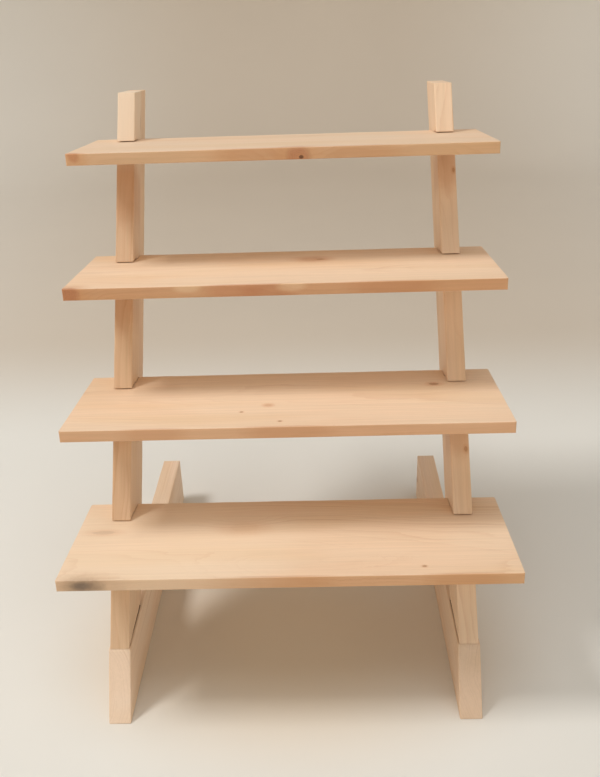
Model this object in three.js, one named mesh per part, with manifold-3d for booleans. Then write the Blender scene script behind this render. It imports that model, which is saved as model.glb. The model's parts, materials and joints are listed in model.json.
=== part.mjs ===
// Four-tier stepped display stand in solid pine, for paint bottles and other small things.
// Two side frames (a leaning upright on a floor rail, joined by dowels) carry four plain
// shelves. Every shelf is cross-halved into both uprights and pulls out towards the front.
// The shelves tilt back a little, so their weight keeps them in their notches.
//
// Millimetres. +X to the right, +Y to the back, +Z up. The origin is on the floor, under the
// middle of the stand's bounding box.
//
// The uprights and shelves are drawn in the "upper frame": its origin is the front corner of
// the joint between an upright and its rail, and it tilts back with the shelves.

import * as THREE from 'three';
import { mergeVertices } from 'three/addons/utils/BufferGeometryUtils.js';
import Module from 'manifold-3d';

// ---- driving dimensions ---------------------------------------------------------------------

const INCH = 25.4;

// Shelves
const SHELF_COUNT = 4;
const SHELF_WIDTH = 18 * INCH;
const SHELF_DEPTH = 6 * INCH;
const SHELF_THICKNESS = 0.5 * INCH;
const TIER_RISE = 5 * INCH;
const SHELF_FRONT_TO_UPRIGHT = 112; // along a shelf's top, from its front edge

// Side frames
const CUT_ANGLE_DEG = 30; // of the uprights against the shelves, and of the rails' front ends
const SHELF_TILT_DEG = 5; // of the shelves against the floor, back edge down
const UPRIGHT_THICKNESS = 21;
const UPRIGHT_WIDTH = 60;
const RAIL_THICKNESS = 24; // the rails are of thicker stock, centred under the uprights
const RAIL_HEIGHT = 68;
const RAIL_LENGTH = 430; // along the floor
const UPRIGHT_OUTER_SPACING = 394; // over the outer faces of the two uprights
const JOINT_TO_BOTTOM_SHELF = 117; // square to the shelves, from the joint up to a shelf's top
const UPRIGHT_ABOVE_TOP_SHELF = 54;

// Fits
const CLEARANCE = 0.3; // between pieces that touch
const NOTCH_HEADROOM = 0.8; // above a shelf, inside an upright's notch
const HALVING_DEPTH = 0.75 * INCH; // of each shelf's notch, from its back edge
const FOOT_GAP_FRONT = 0.3; // under an upright's foot: its cut is a little off level,
const FOOT_GAP_BACK = 4.2; // so the joint opens towards the back

// Dowels, two in each joint of an upright and a rail
const DOWEL_RADIUS = 4;
const DOWEL_LENGTH = 40;
const DOWEL_CHAMFER = 0.8;
const DOWEL_SETBACKS = [26, 56]; // behind the joint's front corner, along the rail's top
const ROUND_SEGMENTS = 32;

// ---- derived places -------------------------------------------------------------------------

const SLOPE = Math.tan(THREE.MathUtils.degToRad(CUT_ANGLE_DEG));
const TILT = THREE.MathUtils.degToRad(SHELF_TILT_DEG);
const TIER_RUN = SLOPE * TIER_RISE;
const UPRIGHT_DEPTH = UPRIGHT_WIDTH * Math.hypot(1, SLOPE); // along a shelf
const UPRIGHT_TOP = JOINT_TO_BOTTOM_SHELF + (SHELF_COUNT - 1) * TIER_RISE + UPRIGHT_ABOVE_TOP_SHELF;
const UPRIGHT_CENTRE_X = (UPRIGHT_OUTER_SPACING - UPRIGHT_THICKNESS) / 2;
const RAIL_TOE = -SLOPE * RAIL_HEIGHT; // the rail's lowest front corner, from the joint
const UPRIGHT_TOP_BACK = backOf(SLOPE * UPRIGHT_TOP + UPRIGHT_DEPTH, UPRIGHT_TOP);
const JOINT_Y = -(RAIL_TOE + UPRIGHT_TOP_BACK) / 2; // centres the stand on the origin

/** How far behind the joint, along the floor, a point of the upper frame lies. */
function backOf(y, z) {
  return y * Math.cos(TILT) + z * Math.sin(TILT);
}

/** Y of an upright's front edge in the upper frame, at a height there. */
function frontEdge(z) {
  return SLOPE * z;
}

/** Height of a shelf's top in the upper frame; tier 0 is the bottom shelf. */
function shelfTop(tier) {
  return JOINT_TO_BOTTOM_SHELF + tier * TIER_RISE;
}

/** Y of a shelf's front edge in the upper frame. */
function shelfFront(tier) {
  return frontEdge(JOINT_TO_BOTTOM_SHELF) - SHELF_FRONT_TO_UPRIGHT + tier * TIER_RUN;
}

/** Y of the dowels in a side frame. */
function dowelPlaces() {
  return DOWEL_SETBACKS.map((setback) => JOINT_Y + setback);
}

/** Turns a group from the stand's own frame into the upper frame. */
function setInUpperFrame(group) {
  group.position.set(0, JOINT_Y, RAIL_HEIGHT);
  group.rotation.x = -TILT;
  group.updateMatrix();
  return group;
}

// ---- materials ------------------------------------------------------------------------------

/** Bare, sanded softwood; each kind of board has its own shade. */
function pine(name, colour) {
  const material = new THREE.MeshStandardMaterial({ color: colour, roughness: 0.62, metalness: 0 });
  material.name = name;
  return material;
}

const shelfPine = pine('shelf_pine', 0xe6c39c);
const framePine = pine('frame_pine', 0xdfb98f);
const dowelBirch = pine('dowel_birch', 0xd9bd93);

// ---- solid modelling ------------------------------------------------------------------------

const wasm = await Module();
wasm.setup();

/** Keeps only the positions of a geometry and joins the vertices that its faces share. */
function weld(geometry) {
  const bare = geometry.clone();
  bare.deleteAttribute('normal');
  bare.deleteAttribute('uv');
  return mergeVertices(bare, 1e-4);
}

function toSolid(geometry) {
  const welded = weld(geometry);
  return new wasm.Manifold(new wasm.Mesh({
    numProp: 3,
    vertProperties: Float32Array.from(welded.getAttribute('position').array),
    triVerts: Uint32Array.from(welded.getIndex().array),
  }));
}

function toGeometry(solid) {
  const mesh = solid.getMesh();
  const geometry = new THREE.BufferGeometry();
  geometry.setAttribute('position', new THREE.BufferAttribute(mesh.vertProperties, 3));
  geometry.setIndex(new THREE.BufferAttribute(mesh.triVerts, 1));
  geometry.computeVertexNormals();
  return geometry;
}

/** Cuts the tools out of a blank. */
function cut(blank, tools) {
  const remaining = tools.reduce((solid, tool) => solid.subtract(toSolid(tool)), toSolid(blank));
  return toGeometry(remaining);
}

function outline(points) {
  return new THREE.Shape(points.map(([u, v]) => new THREE.Vector2(u, v)));
}

/** A board whose outline is drawn in (y, z); x = 0 is the middle of its thickness. */
function sideBoard(points, thickness) {
  const board = new THREE.ExtrudeGeometry(outline(points), { depth: thickness, bevelEnabled: false });
  board.translate(0, 0, -thickness / 2);
  const yAxis = new THREE.Vector3(0, 1, 0);
  const zAxis = new THREE.Vector3(0, 0, 1);
  const xAxis = new THREE.Vector3(1, 0, 0);
  return board.applyMatrix4(new THREE.Matrix4().makeBasis(yAxis, zAxis, xAxis));
}

/** Drills for the dowels of one side frame, each a clearance wider and longer than its dowel. */
function dowelDrills() {
  const length = DOWEL_LENGTH + 2 * CLEARANCE;
  return dowelPlaces().map((y) => {
    const drill = new THREE.CylinderGeometry(
      DOWEL_RADIUS + CLEARANCE, DOWEL_RADIUS + CLEARANCE, length, ROUND_SEGMENTS,
    );
    drill.rotateX(Math.PI / 2);
    return drill.translate(0, y, RAIL_HEIGHT);
  });
}

// ---- pieces ---------------------------------------------------------------------------------

/** A shelf with two notches in its back edge, one for each upright. Its top is at z = 0. */
function shelfGeometry() {
  const half = SHELF_WIDTH / 2;
  const notchInner = UPRIGHT_CENTRE_X - UPRIGHT_THICKNESS / 2 - CLEARANCE;
  const notchOuter = UPRIGHT_CENTRE_X + UPRIGHT_THICKNESS / 2 + CLEARANCE;
  const notchEnd = SHELF_DEPTH - HALVING_DEPTH;
  const rightHalf = [
    [half, 0],
    [half, SHELF_DEPTH],
    [notchOuter, SHELF_DEPTH],
    [notchOuter, notchEnd],
    [notchInner, notchEnd],
    [notchInner, SHELF_DEPTH],
  ];
  const leftHalf = rightHalf.map(([x, y]) => [-x, y]).reverse();
  const board = new THREE.ExtrudeGeometry(
    outline([...rightHalf, ...leftHalf]),
    { depth: SHELF_THICKNESS, bevelEnabled: false },
  );
  return board.translate(0, 0, -SHELF_THICKNESS);
}

/** The front edge of one notch in an upright, from its lower lip to its upper lip. */
function notchPoints(tier) {
  const floor = shelfTop(tier) - SHELF_THICKNESS - CLEARANCE;
  const ceiling = shelfTop(tier) + NOTCH_HEADROOM;
  const end = shelfFront(tier) + SHELF_DEPTH - HALVING_DEPTH + CLEARANCE;
  return [
    [frontEdge(floor), floor],
    [end, floor],
    [end, ceiling],
    [frontEdge(ceiling), ceiling],
  ];
}

/** The two corners of an upright's foot, which follows the top of its rail. */
function footPoints() {
  const railSlope = Math.tan(TILT);
  const backY = (UPRIGHT_DEPTH + SLOPE * FOOT_GAP_BACK) / (1 - SLOPE * railSlope);
  return [
    [frontEdge(FOOT_GAP_FRONT), FOOT_GAP_FRONT],
    [backY, railSlope * backY + FOOT_GAP_BACK],
  ];
}

/** A leaning upright, notched from its front edge for every shelf. */
function uprightGeometry() {
  const points = [
    ...footPoints(),
    [frontEdge(UPRIGHT_TOP) + UPRIGHT_DEPTH, UPRIGHT_TOP],
    [frontEdge(UPRIGHT_TOP), UPRIGHT_TOP],
  ];
  for (let tier = SHELF_COUNT - 1; tier >= 0; tier -= 1) {
    points.push(...notchPoints(tier).reverse());
  }
  const board = sideBoard(points, UPRIGHT_THICKNESS);
  board.applyMatrix4(setInUpperFrame(new THREE.Group()).matrix);
  return cut(board, dowelDrills());
}

/** A floor rail with a sloping front end and a square back end. */
function railGeometry() {
  const toe = JOINT_Y + RAIL_TOE;
  const points = [
    [toe, 0],
    [toe + RAIL_LENGTH, 0],
    [toe + RAIL_LENGTH, RAIL_HEIGHT],
    [JOINT_Y, RAIL_HEIGHT],
  ];
  return cut(sideBoard(points, RAIL_THICKNESS), dowelDrills());
}

/** A chamfered dowel standing on end, centred on the origin. */
function dowelGeometry() {
  const half = DOWEL_LENGTH / 2;
  const profile = [
    [0, -half],
    [DOWEL_RADIUS - DOWEL_CHAMFER, -half],
    [DOWEL_RADIUS, -half + DOWEL_CHAMFER],
    [DOWEL_RADIUS, half - DOWEL_CHAMFER],
    [DOWEL_RADIUS - DOWEL_CHAMFER, half],
    [0, half],
  ].map(([radius, height]) => new THREE.Vector2(radius, height));
  return new THREE.LatheGeometry(profile, ROUND_SEGMENTS).rotateX(Math.PI / 2);
}

// ---- assembly -------------------------------------------------------------------------------

function piece(name, geometry, material) {
  const mesh = new THREE.Mesh(geometry, material);
  mesh.name = name;
  return mesh;
}

/** One side frame: an upright, its rail and the dowels between them. */
function sideFrame(side, centreX) {
  const frame = new THREE.Group();
  frame.position.x = centreX;
  frame.add(piece(`${side}_upright`, uprightGeometry(), framePine));
  frame.add(piece(`${side}_base_rail`, railGeometry(), framePine));
  const dowelNames = [`${side}_front_dowel`, `${side}_rear_dowel`];
  dowelPlaces().forEach((y, index) => {
    const dowel = piece(dowelNames[index], dowelGeometry(), dowelBirch);
    dowel.position.set(0, y, RAIL_HEIGHT);
    frame.add(dowel);
  });
  return frame;
}

const SHELF_NAMES = ['bottom_shelf', 'lower_middle_shelf', 'upper_middle_shelf', 'top_shelf'];

/** The four shelves, in a group that tilts them back. */
function shelves() {
  const group = setInUpperFrame(new THREE.Group());
  SHELF_NAMES.forEach((name, tier) => {
    const shelf = piece(name, shelfGeometry(), shelfPine);
    shelf.position.set(0, shelfFront(tier), shelfTop(tier));
    group.add(shelf);
  });
  return group;
}

const stand = new THREE.Group();
stand.name = 'stepped_display_stand';
stand.add(sideFrame('left', -UPRIGHT_CENTRE_X));
stand.add(sideFrame('right', UPRIGHT_CENTRE_X));
stand.add(shelves());

export default stand;
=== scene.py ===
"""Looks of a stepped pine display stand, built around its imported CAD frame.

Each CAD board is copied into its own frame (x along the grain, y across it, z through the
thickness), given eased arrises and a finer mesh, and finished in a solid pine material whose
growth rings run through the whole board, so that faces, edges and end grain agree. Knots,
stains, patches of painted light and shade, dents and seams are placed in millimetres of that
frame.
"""

import json
import math

import bmesh
import bpy
from mathutils import Euler, Matrix, Vector, noise


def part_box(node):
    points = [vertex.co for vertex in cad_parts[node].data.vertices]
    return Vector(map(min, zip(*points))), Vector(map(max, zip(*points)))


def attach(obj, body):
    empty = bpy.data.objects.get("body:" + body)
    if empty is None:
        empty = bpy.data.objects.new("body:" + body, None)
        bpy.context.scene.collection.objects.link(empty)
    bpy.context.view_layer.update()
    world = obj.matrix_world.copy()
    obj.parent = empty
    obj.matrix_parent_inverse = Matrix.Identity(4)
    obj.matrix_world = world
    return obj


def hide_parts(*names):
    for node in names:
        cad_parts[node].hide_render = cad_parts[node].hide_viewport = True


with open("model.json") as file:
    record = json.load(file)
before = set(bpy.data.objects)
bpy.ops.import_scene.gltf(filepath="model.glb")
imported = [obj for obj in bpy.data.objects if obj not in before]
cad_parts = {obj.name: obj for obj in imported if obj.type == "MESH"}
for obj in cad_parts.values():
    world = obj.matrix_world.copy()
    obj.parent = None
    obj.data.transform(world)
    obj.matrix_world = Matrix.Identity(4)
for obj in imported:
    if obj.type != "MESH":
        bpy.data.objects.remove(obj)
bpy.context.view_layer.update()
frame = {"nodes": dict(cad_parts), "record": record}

MM = 0.001
TURN = 2 * math.pi
AXES = (Vector((1, 0, 0)), Vector((0, 1, 0)), Vector((0, 0, 1)))

# ---- shape of the boards ----------------------------------------------------------------------

WELD_DISTANCE = 0.002 * MM
SLICE_TOLERANCE = 0.01 * MM
FLAT_ANGLE = math.radians(1)
SHARP_ANGLE = math.radians(40)
HOLE_WALL_AREA = 40 * MM * MM  # faces smaller than this are the facets of a dowel hole
ROUNDING_SEGMENTS = 4
SHELF_ARRIS_RADIUS = 0.7
FRAME_ARRIS_RADIUS = 1.2
SHELF_CORNER_RADIUS = 3.2
FRONT_CORNER_SHARE = 0.4  # of the radius of a shelf's back corners
INSET = 2.4 * MM  # of the first mesh line from every edge
MESH_STEPS = (9 * MM, 14.4 * MM)  # along and across a board
DENT_STEP = 2.5  # millimetres between the mesh lines of a dent
FACE_WAVE = 0.16 * MM
WAVE_SIZES = (0.11, 0.035, 0.035)
ARRIS_WEAR = 0.3 * MM
RUB_SIZES = (0.02, 0.012, 0.012)
DENT_GRAIN = 3.5 * MM


def copy_of_node(node):
    """A welded bmesh of a CAD node, with one face per flat."""
    bm = bmesh.new()
    bm.from_mesh(frame["nodes"][node].data)
    bmesh.ops.remove_doubles(bm, verts=bm.verts, dist=WELD_DISTANCE)
    bmesh.ops.dissolve_limit(bm, angle_limit=FLAT_ANGLE, verts=bm.verts, edges=bm.edges)
    bm.normal_update()
    return bm


def board_frame(bm):
    """A board's own frame, from its largest flats: x along it, y across it, z through it."""
    flats = {}
    for face in bm.faces:
        key = tuple(round(c, 2) for c in face.normal)
        flats.setdefault(key, []).append(face)
    areas = {key: sum(f.calc_area() for f in faces) for key, faces in flats.items()}
    ranked = sorted(areas, key=areas.get, reverse=True)
    normals = [flats[key][0].normal.copy() for key in ranked]
    through = normals[0]
    across = next(n for n in normals if abs(n.dot(through)) < 0.01)
    if across.y + across.z < 0:
        across = -across
    along = across.cross(through)
    if sum(along) < 0:
        along = -along
    through = along.cross(across)
    axes = (along, across, through)
    corner = Vector((0, 0, 0))
    for axis in axes:
        corner += axis * min(v.co.dot(axis) for v in bm.verts)
    columns = Matrix((*axes,)).transposed().to_4x4()
    return Matrix.Translation(corner) @ columns


def main_planes(bm):
    """A point and a normal of every flat of a board, without the facets of dowel holes."""
    planes = {}
    for face in bm.faces:
        if face.calc_area() < HOLE_WALL_AREA:
            continue
        distance = face.normal.dot(face.verts[0].co)
        key = tuple(round(c, 3) for c in (*face.normal, distance * 10))
        planes[key] = (face.verts[0].co.copy(), face.normal.copy())
    return list(planes.values())


def is_arris(edge):
    """True for an outer edge between two flats."""
    if len(edge.link_faces) != 2:
        return False
    if min(f.calc_area() for f in edge.link_faces) < HOLE_WALL_AREA:
        return False
    return edge.calc_face_angle_signed() > SHARP_ANGLE


def round_edges(bm, edges, radius):
    """Rounds edges, and returns the faces of the rounding. The radius is in millimetres."""
    made = bmesh.ops.bevel(
        bm, geom=edges, offset=radius * MM, segments=ROUNDING_SEGMENTS, profile=0.5,
        affect="EDGES", clamp_overlap=True, loop_slide=True,
    )
    return made["faces"]


def round_corners(bm, size, radius):
    """Rounds the upright corners of a shelf, the back pair fully and the front pair less."""
    for end, share in ((size[1], 1.0), (0, FRONT_CORNER_SHARE)):
        corners = [
            e for e in bm.edges
            if is_arris(e)
            and all(min(v.co.x, size[0] - v.co.x) < MM for v in e.verts)
            and all(abs(v.co.y - end) < MM for v in e.verts)
        ]
        round_edges(bm, corners, radius * share)


def round_arrises(bm, radius, seam):
    """Eases the arrises, apart from those inside the seam, and marks the new faces."""
    rounded = bm.faces.layers.int.new("rounded")
    arrises = [e for e in bm.edges if is_arris(e)]
    if seam:
        low, high = (end * MM for end in seam)
        arrises = [e for e in arrises if not all(low < v.co.x < high for v in e.verts)]
    for face in round_edges(bm, arrises, radius):
        face[rounded] = 1
    return rounded


def slice_mesh(bm, point, normal):
    """Adds the mesh line where a plane cuts the board."""
    geometry = bm.verts[:] + bm.edges[:] + bm.faces[:]
    bmesh.ops.bisect_plane(
        bm, geom=geometry, dist=SLICE_TOLERANCE, plane_co=point, plane_no=normal,
    )


def refine(bm, planes, size):
    """Adds mesh lines just inside every flat, and evenly along and across the board."""
    for point, normal in planes:
        slice_mesh(bm, point - normal * INSET, normal)
    for axis, length, step in zip(AXES, size, MESH_STEPS):
        for index in range(1, int(length / step)):
            slice_mesh(bm, axis * (index * step), axis)


def refine_dent(bm, centre, reach):
    """Adds the closer mesh lines that a dent needs."""
    for axis, middle, half in zip(AXES, centre, reach):
        for index in range(int(2 * half / DENT_STEP) + 1):
            offset = middle - half + index * DENT_STEP
            slice_mesh(bm, axis * (offset * MM), axis)


def mark_arrises(bm, rounded):
    """Copies the mark of the rounded faces to their vertices, where the material reads it."""
    arris = bm.verts.layers.float.new("arris")
    for face in bm.faces:
        if face[rounded]:
            for vertex in face.verts:
                vertex[arris] = 1
    return arris


def lumps(point, sizes, shift):
    """Smooth noise from -1 to 1, in lumps of the given sizes."""
    return noise.noise(Vector([c / size for c, size in zip(point, sizes)]) + shift)


def dent_depth(point, dent, shift):
    """How far a shallow dent with a rough floor sinks a point."""
    centre, reach, depth = dent
    away = (point - Vector(centre) * MM) / MM
    near = sum((a / r) ** 2 for a, r in zip(away, reach))
    if near >= 1:
        return 0.0
    rough = 0.6 + 0.7 * noise.noise(point / DENT_GRAIN + shift)
    return depth * MM * (1 - near) * rough


def wear(bm, arris, seed, dents):
    """Sanded surfaces: long shallow waves, arrises worn unevenly, and a dent here and there."""
    shift = Vector((seed * 3.1, seed * 1.7, seed * 0.9))
    bm.normal_update()
    moves = []
    for vertex in bm.verts:
        depth = FACE_WAVE * (0.5 + 0.5 * lumps(vertex.co, WAVE_SIZES, shift))
        if vertex[arris] > 0.5:
            depth += ARRIS_WEAR * max(0.0, 0.35 + lumps(vertex.co, RUB_SIZES, shift))
        depth += sum(dent_depth(vertex.co, dent, shift) for dent in dents)
        moves.append(vertex.normal * -depth)
    for vertex, move in zip(bm.verts, moves):
        vertex.co += move


def smooth_object(name, bm, material):
    """Turns a finished bmesh into a smooth object of the scene."""
    mesh = bpy.data.meshes.new(name)
    bm.to_mesh(mesh)
    bm.free()
    for polygon in mesh.polygons:
        polygon.use_smooth = True
    mesh.materials.append(material)
    made = bpy.data.objects.new(name, mesh)
    bpy.context.scene.collection.objects.link(made)
    return made


def wooden_piece(name, bm, matrix, material):
    """Puts a mesh drawn in its own frame where it belongs in the stand, object at the origin."""
    bm.transform(matrix)
    piece = smooth_object(name, bm, material)
    piece.data.set_sharp_from_angle(angle=SHARP_ANGLE)
    normals = piece.modifiers.new("weighted normals", "WEIGHTED_NORMAL")
    normals.keep_sharp = True
    return piece


def body_of_node(node):
    """The name of the body that carries a CAD node."""
    groups = frame["record"]["behaviour"]["bodies"]
    return next(body for body, members in groups.items() if node in members)


def stand_in(piece, node):
    """Makes a piece ride and stand in for its CAD node."""
    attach(piece, body_of_node(node))
    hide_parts(node)


def board(node, seed, look, radius, corner_radius=0, dents=(), seam=None):
    """Builds one detailed board over its CAD node.

    seam is a stretch of the board, at a joint, whose arrises stay sharp. A dent has a centre,
    its reach along the three axes, and a depth.
    """
    bm = copy_of_node(node)
    matrix = board_frame(bm)
    material = pine(f"{node}_pine", matrix, seed=seed, **look)
    bm.transform(matrix.inverted())
    bm.normal_update()
    size = [max(v.co[i] for v in bm.verts) for i in range(3)]
    planes = main_planes(bm)
    if corner_radius:
        round_corners(bm, size, corner_radius)
    rounded = round_arrises(bm, radius, seam)
    refine(bm, planes, size)
    for centre, reach, _ in dents:
        refine_dent(bm, centre, reach)
    wear(bm, mark_arrises(bm, rounded), seed, dents)
    bmesh.ops.triangulate(bm, faces=[f for f in bm.faces if len(f.verts) > 4])
    stand_in(wooden_piece(f"{node}_board", bm, matrix, material), node)


# ---- materials --------------------------------------------------------------------------------

BARK = (58, 38, 26)
# the dark of old glue and of painted shade in the gaps of the joints
GLUE_AND_GAP_SHADE = (96, 66, 42)
PINK_WOOD = (243, 203, 168)
AMBER_WOOD = (228, 188, 136)
# lighter wood along the arrises: worn by sanding, and a painted highlight
RUBBED_AND_HIGHLIT_WOOD = (232, 194, 154)
RIPPLE_PITCH = 2.1  # of the planer's marks, in millimetres
SAW_PITCH = 1.7
SAW_SLANT = 0.35
HALF = Vector((0.5, 0.5, 0.5))

# how dark the wood is through one year: pale, then a dense line, and a sudden new start
YEAR = [(0.0, 0.0), (0.4, 0.06), (0.68, 0.3), (0.88, 0.85), (0.97, 1.0), (1.0, 0.05)]


def linear(red, green, blue):
    """A colour given in display values from 0 to 255, as the shaders take it."""
    return tuple(
        c / 12.92 if c <= 0.04045 else ((c + 0.055) / 1.055) ** 2.4
        for c in (red / 255, green / 255, blue / 255)
    ) + (1.0,)


class Graph:
    """A material's node graph. Its methods add nodes and return their output sockets."""

    def __init__(self, name):
        self.material = bpy.data.materials.new(name)
        self.material.use_nodes = True
        self.tree = self.material.node_tree
        self.tree.nodes.clear()

    def feed(self, socket, value):
        """Links a socket to a socket, or sets it to a number, vector or colour."""
        if isinstance(value, bpy.types.NodeSocket):
            self.tree.links.new(value, socket)
        elif value is not None:
            socket.default_value = value

    def add(self, kind, *values, output=0, **settings):
        node = self.tree.nodes.new(kind)
        for key, value in settings.items():
            setattr(node, key, value)
        for socket, value in zip(node.inputs, values):
            self.feed(socket, value)
        return node.outputs[output]

    def math(self, operation, *values, clamp=False):
        return self.add("ShaderNodeMath", *values, operation=operation, use_clamp=clamp)

    def vector(self, operation, *values):
        output = 1 if operation in ("LENGTH", "DOT_PRODUCT") else 0
        return self.add("ShaderNodeVectorMath", *values, operation=operation, output=output)

    def combine(self, x, y, z):
        return self.add("ShaderNodeCombineXYZ", x, y, z)

    def split(self, vector):
        """The three numbers of a vector."""
        node = self.tree.nodes.new("ShaderNodeSeparateXYZ")
        self.feed(node.inputs[0], vector)
        return list(node.outputs)

    def scaled(self, vector, factor):
        node = self.tree.nodes.new("ShaderNodeVectorMath")
        node.operation = "SCALE"
        self.feed(node.inputs[0], vector)
        self.feed(node.inputs["Scale"], factor)
        return node.outputs[0]

    def step(self, value, low, high, to_low=0.0, to_high=1.0):
        """A smooth step from to_low at low to to_high at high."""
        return self.add(
            "ShaderNodeMapRange", value, low, high, to_low, to_high,
            interpolation_type="SMOOTHSTEP",
        )

    def between(self, value, low, high):
        """1 between two values, fading to 0 over the last unit before each."""
        half = (high - low) / 2
        off = self.math("ABSOLUTE", self.math("SUBTRACT", value, (low + high) / 2))
        return self.step(off, half - 1, half, 1.0, 0.0)

    def noise(self, vector, detail=2.0, roughness=0.5, colour=False):
        """Noise about 0.5, as a number or as three numbers in a colour."""
        return self.add(
            "ShaderNodeTexNoise", vector, None, 1.0, detail, roughness,
            output=1 if colour else 0,
        )

    def mix(self, factor, first, second):
        node = self.tree.nodes.new("ShaderNodeMix")
        node.data_type = "RGBA"
        self.feed(node.inputs[0], factor)
        self.feed(node.inputs[6], first)
        self.feed(node.inputs[7], second)
        return node.outputs[2]

    def shaded(self, colour, tone, green=1.0, blue=1.0):
        """A colour times a tone. Powers over 1 turn it warmer as it darkens."""
        tones = [tone if p == 1 else self.math("POWER", tone, p) for p in (green, blue)]
        return self.vector("MULTIPLY", colour, self.combine(tone, *tones))

    def ramp(self, value, stops):
        """A curve of grey through stops, each a place and a level, in order of place."""
        node = self.tree.nodes.new("ShaderNodeValToRGB")
        self.feed(node.inputs[0], value)
        elements = node.color_ramp.elements
        for element, (place, level) in zip(elements, (stops[0], stops[-1])):
            element.position = place
            element.color = (level, level, level, 1)
        for place, level in stops[1:-1]:
            element = elements.new(place)
            element.color = (level, level, level, 1)
        return node.outputs[0]

    def bump(self, height, strength, distance):
        node = self.tree.nodes.new("ShaderNodeBump")
        node.inputs["Strength"].default_value = strength
        node.inputs["Distance"].default_value = distance
        self.feed(node.inputs["Height"], height)
        return node.outputs[0]

    def finish(self, colour, roughness, bump, specular):
        """Joins everything in the surface shader and returns the material."""
        shader = self.tree.nodes.new("ShaderNodeBsdfPrincipled")
        self.feed(shader.inputs["Base Color"], colour)
        self.feed(shader.inputs["Roughness"], roughness)
        self.feed(shader.inputs["Normal"], bump)
        shader.inputs["Specular IOR Level"].default_value = specular
        output = self.tree.nodes.new("ShaderNodeOutputMaterial")
        self.tree.links.new(shader.outputs[0], output.inputs[0])
        return self.material


class WoodGraph(Graph):
    """A graph that knows its board: place is in millimetres of the board's own frame."""

    def __init__(self, name, matrix, seed):
        super().__init__(name)
        coordinates = self.tree.nodes.new("ShaderNodeTexCoord")
        self.normal = coordinates.outputs["Normal"]
        self.axes = [matrix.col[i].to_3d() for i in range(3)]
        away = self.vector("SUBTRACT", coordinates.outputs["Object"], matrix.translation)
        metres = self.combine(*[self.vector("DOT_PRODUCT", away, a) for a in self.axes])
        self.place = self.scaled(metres, 1000.0)
        shift = Vector((seed * 37.0, seed * 11.0, seed * 23.0))
        self.moved = self.vector("ADD", self.place, shift)

    def stretched(self, along, across, detail=2.0, roughness=0.5, colour=False):
        """Noise whose lumps are so long along the grain and so wide across it."""
        size = Vector((1 / along, 1 / across, 1 / across))
        return self.noise(self.vector("MULTIPLY", self.moved, size), detail, roughness, colour)

    def wander(self, along, across, detail, roughness, reach):
        """A vector that drifts to and fro."""
        drift = self.stretched(along, across, detail, roughness, colour=True)
        return self.scaled(self.vector("SUBTRACT", drift, HALF), reach)

    def facing(self, axis, low, high):
        """1 on surfaces that face along one of the board's axes, by the given limits."""
        cosine = self.vector("DOT_PRODUCT", self.normal, self.axes[axis])
        return self.step(self.math("ABSOLUTE", cosine), low, high)


def knot(
    at, radius, axis=(0, 0, 1), stretch=1.25, swell=None, reach=40, strength=0.9, bark=0.3,
    halo=1.0, colour=(176, 112, 66), dark=(118, 66, 36), tint=(212, 150, 100), soft=0.25,
):
    """A knot: where its branch crosses the board, how far it reaches, and its colours."""
    return {
        "at": at, "radius": radius, "axis": axis, "stretch": stretch,
        "swell": radius * 0.9 if swell is None else swell, "reach": reach, "strength": strength,
        "bark": bark, "halo": halo, "colour": colour, "dark": dark, "tint": tint, "soft": soft,
    }


def stain_and_painted_light(at, radius, stretch, tint, reach=40):
    """A soft patch of another tint, from a board's front edge inwards: some are stains in the
    wood, some are painted light and painted shade.
    """
    return knot(
        at, radius, (0, 1, 0), stretch, swell=0, reach=reach, strength=0, bark=0, tint=tint,
    )


def edge_stain(x, z, radius, stretch, tint):
    """A soft patch on the front edge alone."""
    return stain_and_painted_light((x, 0, z), radius, stretch, tint, reach=3)


def flame(at, radius, stretch, swell):
    """Rings that bulge round a long spot, as in a flat-sawn board."""
    return knot(at, radius, (0, 0.1, 1), stretch, swell=swell, strength=0, bark=0, halo=0)


def knot_field(g, knot):
    """One branch through the board: how it swells the rings, and masks of its parts."""
    radius = knot["radius"]
    axis = Vector(knot["axis"]).normalized()
    away = g.vector("SUBTRACT", g.place, Vector(knot["at"]))
    along = g.vector("DOT_PRODUCT", away, axis)
    square = g.vector("SUBTRACT", away, g.scaled(tuple(axis), along))
    squeezed = g.vector("MULTIPLY", square, Vector((1 / knot["stretch"], 1, 1)))
    uneven = g.math("SUBTRACT", g.noise(g.scaled(g.place, 1.2 / radius), 3.0, 0.6), 0.5)
    distance = g.vector("LENGTH", squeezed)
    distance = g.math("ADD", distance, g.math("MULTIPLY", uneven, radius * 0.7))
    share = g.math("DIVIDE", distance, radius)
    off_rim = g.math("ABSOLUTE", g.math("SUBTRACT", share, 0.98))
    depth = g.step(g.math("ABSOLUTE", along), knot["reach"] * 0.7, knot["reach"], 1.0, 0.0)
    soft = knot["soft"]
    ring_pitch = max(0.5, radius * 0.16)

    def mask(value, low, high):
        return g.math("MULTIPLY", g.step(value, low, high, 1.0, 0.0), depth)

    return {
        "swell": g.math("MULTIPLY", g.step(share, 0.6, 4.0, 1.0, 0.0), knot["swell"]),
        "inside": mask(share, 1 - soft, 1 + 0.4 * soft),
        "rim": mask(off_rim, 0.02, 0.22),
        "halo": mask(share, 0.9, 2.6),
        "rings": g.math("SINE", g.math("MULTIPLY", distance, TURN / ring_pitch)),
    }


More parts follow.
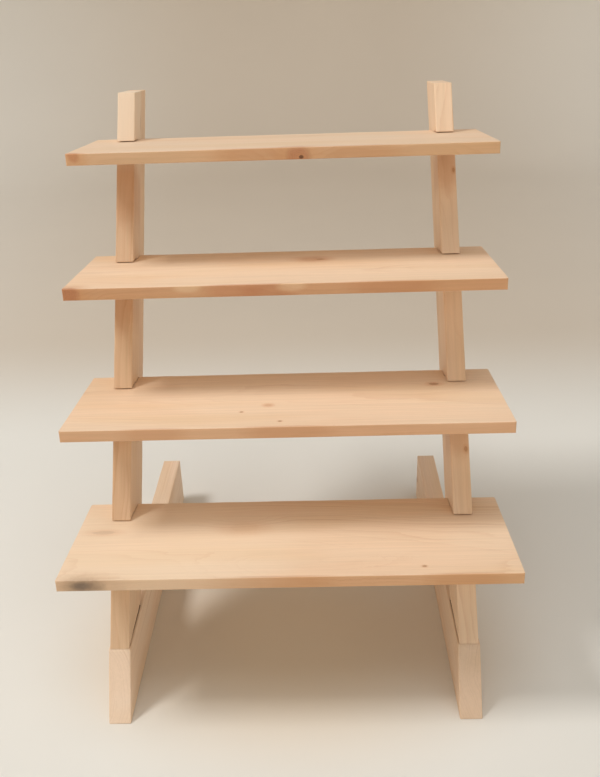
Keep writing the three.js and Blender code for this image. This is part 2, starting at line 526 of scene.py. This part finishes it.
def growth_rings(g, pith, lean, ring, fields):
    """How much latewood there is, in rings round a wandering pith that bend round knots."""
    x, y, z = g.split(g.place)
    drift = g.vector(
        "ADD", g.wander(240, 70, 2.0, 0.5, ring * 7.0), g.wander(45, 9, 3.0, 0.6, ring * 0.7),
    )
    slope = g.combine(0.0, g.math("MULTIPLY", x, lean[0]), g.math("MULTIPLY", x, lean[1]))
    off_pith = g.vector("SUBTRACT", g.combine(0.0, y, z), Vector((0, pith[0], pith[1])))
    off_pith = g.vector("SUBTRACT", off_pith, slope)
    sideways = g.vector("MULTIPLY", drift, Vector((0, 1, 1)))
    radius = g.vector("LENGTH", g.vector("ADD", off_pith, sideways))
    for field in fields:
        radius = g.math("ADD", radius, field["swell"])
    years = g.math("DIVIDE", radius, ring)
    pace = g.add(
        "ShaderNodeTexNoise", None, g.math("MULTIPLY", years, 0.4), 1.0, 1.0, 0.5,
        noise_dimensions="1D",
    )
    years = g.math("ADD", years, g.math("MULTIPLY", pace, 2.4))
    year = g.math("FLOOR", years)
    strength = g.add("ShaderNodeTexWhiteNoise", None, year, noise_dimensions="1D")
    strength = g.math("MULTIPLY_ADD", strength, 0.65, 0.35)
    return g.math("MULTIPLY", g.ramp(g.math("FRACT", years), YEAR), strength)


def face_colour(g, latewood, fibres, canals, contrast, early, late):
    """The wood's own colour: rings, slow changes of shade, streaks, fibres and canals."""
    patch = g.step(g.stretched(190, 42), 0.35, 0.65, 0.22, 1.0)
    shown = g.math("MULTIPLY", g.math("MULTIPLY", latewood, patch), contrast)
    colour = g.mix(shown, linear(*early), linear(*late))
    pink = g.step(g.stretched(170, 55), 0.36, 0.66, 0.0, 0.34)
    colour = g.mix(pink, colour, linear(*PINK_WOOD))
    amber = g.step(g.stretched(260, 38, 1.0), 0.42, 0.72, 0.0, 0.26)
    colour = g.mix(amber, colour, linear(*AMBER_WOOD))
    streaks = g.math("MULTIPLY_ADD", g.stretched(150, 3.2), 0.17, -0.085)
    tone = g.math("ADD", g.math("MULTIPLY_ADD", fibres, 0.16, -0.08), streaks)
    tone = g.math("SUBTRACT", g.math("ADD", tone, 1.0), g.math("MULTIPLY", canals, 0.16))
    return g.shaded(colour, tone, 1.0, 1.25)


def end_grain(g, colour, latewood, pores, end_shade, end_colour):
    """End grain drinks the light: another shade, with open pores."""
    tone = g.math("MULTIPLY_ADD", pores, 0.14, end_shade - 0.07)
    tone = g.math("SUBTRACT", tone, g.math("MULTIPLY", latewood, 0.12))
    return g.mix(0.45, g.shaded(colour, tone, 1.2, 1.4), linear(*end_colour))


def joint_mask(g, axis, along, through=None):
    """1 on the mating face of a joint. through keeps it off the board's own faces."""
    x, _, z = g.split(g.place)
    mask = g.math("MULTIPLY", g.facing(axis, 0.55, 0.75), g.between(x, *along))
    if through:
        mask = g.math("MULTIPLY", mask, g.between(z, *through))
    return mask


def knot_colour(g, colour, knot, field):
    """Lays one knot over the wood: a tinted halo, a ringed heart and a rim of bark."""
    halo = g.math("MULTIPLY", field["halo"], 0.4 * knot["halo"])
    colour = g.mix(halo, colour, linear(*knot["tint"]))
    rings = g.math("MULTIPLY_ADD", field["rings"], 0.22, 0.3)
    heart = g.mix(rings, linear(*knot["colour"]), linear(*knot["dark"]))
    colour = g.mix(g.math("MULTIPLY", field["inside"], knot["strength"]), colour, heart)
    return g.mix(g.math("MULTIPLY", field["rim"], knot["bark"]), colour, linear(*BARK))


def wood_roughness(g, fibres, latewood, polished, end):
    """Rougher along open fibres and on the ends, smoother on latewood, knots and arrises."""
    roughness = g.math("MULTIPLY_ADD", fibres, 0.16, 0.52)
    roughness = g.math("SUBTRACT", roughness, g.math("MULTIPLY", latewood, 0.07))
    roughness = g.math("SUBTRACT", roughness, g.math("MULTIPLY", polished, 0.1))
    return g.math("ADD", roughness, g.math("MULTIPLY", end, 0.12), clamp=True)


def wood_relief(g, latewood, fibres, canals, pores, end):
    """Planer ripple on the faces, saw marks on the ends, raised grain and open canals."""
    x, y, z = g.split(g.place)
    ripple = g.math("SINE", g.math("MULTIPLY", x, TURN / RIPPLE_PITCH))
    slanted = g.math("ADD", y, g.math("MULTIPLY", z, SAW_SLANT))
    saw = g.math("SINE", g.math("MULTIPLY", slanted, TURN / SAW_PITCH))
    sawn = g.math("MULTIPLY", g.math("ADD", saw, pores), 0.32)
    height = g.mix(end, g.math("MULTIPLY", ripple, 0.05), sawn)
    height = g.math("ADD", height, g.math("MULTIPLY", latewood, 0.55))
    height = g.math("ADD", height, g.math("MULTIPLY", fibres, 0.9))
    return g.math("SUBTRACT", height, g.math("MULTIPLY", canals, 0.8))


def pine(
    name, matrix, seed, pith, lean, ring, contrast, knots=(), early=(243, 214, 184),
    late=(206, 152, 110), edge_grain_and_painted_shade=(0.82, 0.72, 0.61), end_shade=0.96,
    end_colour=(232, 204, 176), joint=None,
):
    """Bare sanded pine.

    pith is where the log's centre line crosses x = 0, lean its slope along the board, ring the
    width of a year's growth, and contrast how much of the rings shows. early and late are the
    colours of the two halves of a year, and edge_grain_and_painted_shade multiplies them on the
    narrow edges: in part the darker edge grain, in part painted shade on the front and back
    faces.
    """
    g = WoodGraph(name, matrix, seed)
    fields = [knot_field(g, knot) for knot in knots]
    latewood = growth_rings(g, pith, lean, ring, fields)
    fibres = g.stretched(38, 0.55, 3.0, 0.65)
    open_late = g.math("MULTIPLY_ADD", latewood, 0.7, 0.3)
    canals = g.math("MULTIPLY", g.step(g.stretched(5.0, 0.42, 1.0), 0.69, 0.78), open_late)
    pores = g.noise(g.scaled(g.moved, 1 / 0.55), 2.0, 0.6)

    colour = face_colour(g, latewood, fibres, canals, contrast, early, late)
    # painted shade: the narrow front and back faces are darkened and warmed, partly for the
    # darker edge grain, partly for the shade they get
    edge = g.facing(1, 0.55, 0.9)
    colour = g.mix(edge, colour, g.vector("MULTIPLY", colour, Vector(edge_grain_and_painted_shade)))
    end = g.facing(0, 0.5, 0.85)
    colour = g.mix(end, colour, end_grain(g, colour, latewood, pores, end_shade, end_colour))
    # the mating faces of a joint, seen only through its gap, are darkened: old glue and painted
    # shade in the gap
    if joint:
        colour = g.mix(joint_mask(g, **joint), colour, linear(*GLUE_AND_GAP_SHADE))

    # arrises, burnished by sanding and handling, and painted lighter as a highlight where the
    # rounded edge catches the light
    arris = g.add("ShaderNodeAttribute", attribute_name="arris", output=2)
    rubbed_and_highlit = g.math("MULTIPLY", arris, g.step(g.stretched(14, 5), 0.35, 0.65, 0.25, 1.0))
    colour = g.mix(g.math("MULTIPLY", rubbed_and_highlit, 0.2), colour, linear(*RUBBED_AND_HIGHLIT_WOOD))

    polished = rubbed_and_highlit
    for knot, field in zip(knots, fields):
        colour = knot_colour(g, colour, knot, field)
        polished = g.math("MAXIMUM", polished, field["inside"])

    roughness = wood_roughness(g, fibres, latewood, polished, end)
    height = wood_relief(g, latewood, fibres, canals, pores, end)
    return g.finish(colour, roughness, g.bump(height, 0.25, 0.12 * MM), 0.3)


# ---- the stand --------------------------------------------------------------------------------

TOP = 12.7  # the upper face of a shelf

# each board's edge factor is partly edge grain and partly painted shade on its front and back
# faces, set board by board
SHELVES = {
    "bottom_shelf": dict(
        edge_grain_and_painted_shade=(0.83, 0.66, 0.52),
        pith=(14, -52), lean=(0.02, -0.075), ring=4.8, contrast=0.5,
        knots=[
            flame((250, 24, TOP), 8, 5.0, 16),
            edge_stain(215, 6, 9, 3.4, (200, 138, 86)),
            edge_stain(400, 6, 8, 2.6, (204, 144, 96)),
            # painted light: a pale patch on the top at the left end, where the light from the
            # left reaches past the shelf above
            knot((64, 66, TOP), 56, stretch=1.5, swell=0, strength=0, bark=0,
                 tint=(252, 234, 208)),
            knot((30, -2, 6), 7.5, (0.1, 0.85, -0.5), 2.6, strength=0.6, bark=0, reach=14,
                 soft=0.7, colour=(150, 122, 98), dark=(128, 104, 86), tint=(196, 158, 124)),
            knot((25, -1, 6.5), 4.2, (0.1, 0.9, -0.4), 2.5, strength=0.72, bark=0.06, reach=9,
                 soft=0.6, swell=1, colour=(128, 110, 94), dark=(108, 92, 80),
                 tint=(160, 132, 106)),
            knot((362, 15, TOP), 1.4, (0.1, 0.2, 1), 1.4, strength=0.5),
            knot((28, 90, TOP), 4.0, (0.1, 0.1, 1), 3.2, strength=0.22, bark=0, halo=0.5,
                 colour=(176, 152, 128), dark=(160, 136, 112)),
            knot((178, 96, TOP), 9.0, (0.1, 0.1, 1), 1.8, strength=0.12, bark=0, halo=0.5,
                 colour=(206, 160, 104), dark=(190, 146, 96)),
        ],
    ),
    "lower_middle_shelf": dict(
        edge_grain_and_painted_shade=(0.85, 0.68, 0.56),
        pith=(98, -60), lean=(-0.05, 0.045), ring=4.4, contrast=0.3,
        knots=[
            edge_stain(230, 6, 8, 3.0, (204, 144, 100)),
            edge_stain(96, 6, 7, 2.4, (204, 148, 106)),
            knot((389, 108, TOP), 3.4, (0.1, 0.15, 1), 1.6, strength=0.6, bark=0.15),
            knot((181, 40, TOP), 1.3, strength=0.6),
            knot((222, 14, TOP), 1.4, strength=0.6),
            knot((208, 57, TOP), 3.0, strength=0.16, bark=0),
        ],
    ),
    "upper_middle_shelf": dict(
        edge_grain_and_painted_shade=(0.76, 0.56, 0.42),
        pith=(50, -46), lean=(0.02, 0.05), ring=4.6, contrast=0.33,
        knots=[
            edge_stain(176, 6, 7, 2.2, (194, 120, 78)),
            edge_stain(214, 5, 6, 2.4, (186, 114, 72)),
            edge_stain(236, 10, 3, 2.6, (246, 212, 170)),
            edge_stain(129, 10, 2.4, 3.0, (246, 212, 170)),
            edge_stain(340, 6, 8, 3.0, (198, 132, 88)),
            knot((7, 0, 7), 8, (0.25, 0.6, -0.75), 1.35, strength=0.66, bark=0, reach=26,
                 soft=0.5, colour=(192, 122, 80), dark=(156, 92, 56)),
            knot((258, 108, TOP), 8, (0.05, 0.3, 1), 1.6, strength=0.35, bark=0.05,
                 colour=(206, 148, 100), dark=(170, 108, 66)),
            knot((267, 106, TOP), 2.2, (0.05, 0.3, 1), 2.0, strength=0.5, bark=0.1, swell=0.5),
        ],
    ),
    "top_shelf": dict(
        # painted shade: a darker early colour than the other shelves, against the stronger light
        # on the top shelf nearest the lamps
        edge_grain_and_painted_shade=(0.87, 0.73, 0.59), early=(236, 208, 180),
        pith=(110, -50), lean=(0.04, -0.04), ring=4.6, contrast=0.34,
        knots=[
            edge_stain(200, 6, 9, 2.6, (198, 134, 86)),
            edge_stain(310, 6, 8, 3.0, (204, 144, 96)),
            knot((246, -2, 5), 8.5, (0.1, 0.75, -0.65), 1.6, strength=0.6, bark=0.04, reach=20,
                 soft=0.5, colour=(192, 122, 82), dark=(150, 88, 56)),
            knot((249, 0, 2.6), 1.9, (0.1, 1, -0.2), 1.3, strength=0.85, bark=0.3, reach=10,
                 swell=0.5, colour=(110, 66, 44), dark=(72, 42, 30)),
            knot((8, 0, 11), 4.5, (0.3, 0.5, -0.8), 1.7, strength=0.6, bark=0, reach=22,
                 soft=0.5, colour=(206, 138, 92), dark=(168, 100, 62)),
        ],
    ),
}

# the dent in the bark patch at the bottom shelf's front left corner
DENTS = {"bottom_shelf": [((33, 0, 9), (26, 6, 8), 1.1)]}

UPRIGHT_SEAM = (-1, 45)
RAIL_SEAM = (30, 45)
UPRIGHT_JOINT = dict(axis=0, along=(-10, 60))
RAIL_JOINT = dict(axis=1, along=(41, 111), through=(1.6, 22.4))

# each upright's edge factor is partly edge grain and partly painted shade on its front and back
# faces
UPRIGHTS = {
    "left_upright": dict(
        edge_grain_and_painted_shade=(0.85, 0.78, 0.71), joint=UPRIGHT_JOINT,
        pith=(-46, 26), lean=(0.02, 0.012), ring=3.6, contrast=0.5,
        knots=[
            knot((614, 32, 0), 1.5, (0, 0.1, 1), 6.0, strength=0.4, bark=0.1, reach=8),
            # painted shade: browner patches on the front face just under each shelf; the pale
            # patch at 614 is painted light on the post's top above the top shelf
            stain_and_painted_light((514, 0, 12), 13, 1.7, (192, 134, 90)),
            stain_and_painted_light((378, 0, 14), 9, 1.9, (196, 140, 98)),
            stain_and_painted_light((246, 0, 14), 8, 1.8, (200, 144, 102)),
            stain_and_painted_light((614, 0, 10), 24, 1.4, (252, 236, 214)),
        ],
    ),
    "right_upright": dict(
        edge_grain_and_painted_shade=(0.98, 0.96, 0.94), joint=UPRIGHT_JOINT,
        pith=(100, -34), lean=(-0.015, 0.02), ring=3.8, contrast=0.4,
        knots=[
            knot((207, 0, 4), 1.8, (0, 1, 0.2), 1.7, strength=0.5, bark=0.1),
            knot((529, 0, 3), 1.4, (0, 1, 0.2), 1.8, strength=0.5, bark=0.1),
            stain_and_painted_light((532, 0, 12), 8, 2.0, (200, 146, 104)),
            stain_and_painted_light((224, 0, 12), 7, 2.0, (200, 146, 104)),
        ],
    ),
}

RAILS = {
    # painted light and painted shade: the left rail is paler and the right rail darker, so that
    # the left foot looks lit and the right foot shaded, as by the light from the left
    "left_base_rail": dict(
        early=(248, 224, 200), late=(214, 168, 130), end_shade=1.02,
        end_colour=(240, 212, 188), edge_grain_and_painted_shade=(1, 1, 1), joint=RAIL_JOINT,
        pith=(26, -58), lean=(0.02, -0.02), ring=3.4, contrast=0.4,
        knots=[knot((300, 40, 10), 6, (0, 0.15, 1), 1.5, strength=0.6)],
    ),
    "right_base_rail": dict(
        early=(238, 210, 184), end_shade=0.94,
        end_colour=(222, 196, 172), edge_grain_and_painted_shade=(1, 1, 1), joint=RAIL_JOINT,
        pith=(46, 74), lean=(-0.02, 0.02), ring=3.6, contrast=0.45,
        knots=[knot((424, 30, 0), 3, (0.1, 0.2, 1), 1.5, strength=0.8)],
    ),
}

DOWEL_CHAMFER = 0.8 * MM
FLUTES = 16
SIDES_PER_FLUTE = 4
FLUTE_DEPTH = 0.25 * MM


def circle(bm, radii, height):
    """A loop of vertices round the z axis, one for each radius."""
    angles = [TURN * index / len(radii) for index in range(len(radii))]
    return [
        bm.verts.new((math.cos(angle) * radius, math.sin(angle) * radius, height))
        for angle, radius in zip(angles, radii)
    ]


def bridge(bm, loops):
    """Joins each loop of vertices to the next with a band of faces."""
    for lower, upper in zip(loops, loops[1:]):
        for index, vertex in enumerate(lower):
            after = (index + 1) % len(lower)
            bm.faces.new((vertex, lower[after], upper[after], upper[index]))


def fluted_dowel(node, material):
    """A fluted dowel with chamfered ends, standing in its CAD node's box."""
    low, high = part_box(node)
    radius = (high.x - low.x) / 2
    half = (high.z - low.z) / 2
    tip = radius - DOWEL_CHAMFER
    shoulder = half - DOWEL_CHAMFER
    bm = bmesh.new()
    loops = []
    for height, reach in ((-half, tip), (-shoulder, radius), (shoulder, radius), (half, tip)):
        radii = [reach - FLUTE_DEPTH] + [reach] * (SIDES_PER_FLUTE - 1)
        loops.append(circle(bm, radii * FLUTES, height))
    bridge(bm, loops)
    bm.faces.new(list(reversed(loops[0])))
    bm.faces.new(loops[-1])
    matrix = Matrix.Translation((low + high) / 2)
    stand_in(wooden_piece(f"{node}_pin", bm, matrix, material), node)


def build_stand():
    for seed, (node, look) in enumerate(SHELVES.items(), 1):
        board(
            node, seed, look, SHELF_ARRIS_RADIUS, SHELF_CORNER_RADIUS,
            dents=DENTS.get(node, ()),
        )
    for seed, (node, look) in enumerate(UPRIGHTS.items(), 7):
        board(node, seed, look, FRAME_ARRIS_RADIUS, seam=UPRIGHT_SEAM)
    for seed, (node, look) in enumerate(RAILS.items(), 9):
        board(node, seed, look, FRAME_ARRIS_RADIUS, seam=RAIL_SEAM)
    grain_upright = Matrix.Rotation(math.pi / 2, 4, "Y")
    birch = pine(
        "dowel_birch_wood", grain_upright, seed=15, pith=(-30, 8), lean=(0, 0), ring=1.6,
        contrast=0.3, early=(226, 200, 160), late=(204, 168, 120),
    )
    for side in ("left", "right"):
        for place in ("front", "rear"):
            fluted_dowel(f"{side}_{place}_dowel", birch)


# ---- studio -----------------------------------------------------------------------------------

FLOOR_PAPER = (236, 234, 228)
# painted shade: the wall's paper colour, darker and browner than the floor's
SHADED_WALL_PAPER = (213, 200, 184)
UNDER_STAND = Vector((0, -0.11, 0))
# painted shade: how much darker and warmer the floor is painted under the stand
WARM_SHADE_UNDER_STAND = Vector((0.91, 0.79, 0.66))

# metres
FLOOR_RINGS = (0.3, 0.8, 1.6)
FLOOR_RADIUS = 2.4
BEND_RADIUS = 0.7
BEND_STEPS = 12
COVE_TOP = 2.6
COVE_SIDES = 96

LAMP_WHITE = (1.0, 0.99, 0.97)
LAMP_TARGET = Vector((0, -0.05, 0.3))
WORLD_STRENGTH = 0.15

# place and size in metres, power in watts
LAMPS = {
    "left": ((-2.35, -0.45, 3.9), (1.0, 1.0), 80),
    "overhead": ((0.1, -0.65, 4.3), (2.7, 2.7), 44),
    "right": ((2.2, -1.0, 3.6), (1.8, 1.8), 6),
    "front": ((0, -2.7, 1.5), (2.6, 1.6), 2),
}

# fitted to the corners of the boards
CAMERA_PLACE = (0.03534, -0.90189, 0.72413)
CAMERA_DEGREES = (63.6393, 1.771, 0.6542)
CAMERA_LENS = 40.085
SENSOR_WIDTH = 36


def paper(name):
    """Matt studio paper: cream on the floor, painted darker and browner on the wall behind the
    stand, most in its middle, as painted shade.
    """
    g = Graph(name)
    place = g.tree.nodes.new("ShaderNodeTexCoord").outputs["Object"]
    x, y, z = g.split(place)
    # painted shade: the wall colour takes over up the cove, fully in the middle and less at the
    # sides
    middle = g.step(g.math("ABSOLUTE", x), 0.3, 1.4, 1.0, 0.45)
    wall_shade = g.math("MULTIPLY", g.step(g.math("ADD", y, z), 0.35, 0.85), middle)
    colour = g.mix(wall_shade, linear(*FLOOR_PAPER), linear(*SHADED_WALL_PAPER))

    # painted shade under the stand: the floor is darkened and warmed there, standing for the
    # stand's shadow and the warm light the wood throws down
    out = g.vector("MULTIPLY", g.vector("SUBTRACT", place, UNDER_STAND), Vector((0.75, 1, 1)))
    near = g.step(g.vector("LENGTH", out), 0.04, 0.24, 1.0, 0.0)
    colour = g.mix(near, colour, g.vector("MULTIPLY", colour, WARM_SHADE_UNDER_STAND))

    cloud = g.noise(g.scaled(place, 2.2))
    tooth = g.noise(g.scaled(place, 900.0))
    fleck = g.math("MULTIPLY_ADD", tooth, 0.02, -0.01)
    tone = g.math("ADD", g.math("MULTIPLY_ADD", cloud, 0.05, 0.965), fleck)
    return g.finish(g.shaded(colour, tone), 0.75, g.bump(tooth, 0.1, 0.05 * MM), 0.2)


def build_cove():
    """A round paper cove: a floor that curves up into a wall on every side."""
    profile = [(radius, 0) for radius in FLOOR_RINGS]
    for index in range(BEND_STEPS + 1):
        angle = math.pi / 2 * index / BEND_STEPS
        radius = FLOOR_RADIUS + BEND_RADIUS * math.sin(angle)
        profile.append((radius, BEND_RADIUS * (1 - math.cos(angle))))
    profile.append((FLOOR_RADIUS + BEND_RADIUS, COVE_TOP))
    bm = bmesh.new()
    loops = [circle(bm, [radius] * COVE_SIDES, height) for radius, height in profile]
    bm.faces.new(loops[0])
    bridge(bm, loops)
    bmesh.ops.recalc_face_normals(bm, faces=bm.faces)
    smooth_object("paper_cove", bm, paper("studio_paper"))


def area_light(name, place, size, power):
    """A rectangular lamp aimed at the stand, which the camera does not see."""
    light = bpy.data.lights.new(name, "AREA")
    light.shape = "RECTANGLE"
    light.size, light.size_y = size
    light.energy = power
    light.color = LAMP_WHITE
    lamp = bpy.data.objects.new(name, light)
    lamp.location = place
    lamp.visible_camera = False
    lamp.rotation_euler = (LAMP_TARGET - Vector(place)).to_track_quat("-Z", "Y").to_euler()
    bpy.context.scene.collection.objects.link(lamp)


def build_lights():
    for name, (place, size, power) in LAMPS.items():
        area_light(name, place, size, power)
    world = bpy.data.worlds.new("room")
    world.use_nodes = True
    background = world.node_tree.nodes["Background"]
    background.inputs["Color"].default_value = (*LAMP_WHITE, 1)
    background.inputs["Strength"].default_value = WORLD_STRENGTH
    bpy.context.scene.world = world


def build_camera():
    camera = bpy.data.cameras.new("camera")
    camera.lens = CAMERA_LENS
    camera.sensor_width = SENSOR_WIDTH
    viewer = bpy.data.objects.new("camera", camera)
    viewer.location = CAMERA_PLACE
    viewer.rotation_euler = Euler([math.radians(a) for a in CAMERA_DEGREES])
    bpy.context.scene.collection.objects.link(viewer)
    bpy.context.scene.camera = viewer


build_camera()
build_stand()
build_cove()
build_lights()
bpy.context.scene.view_settings.view_transform = "Standard"
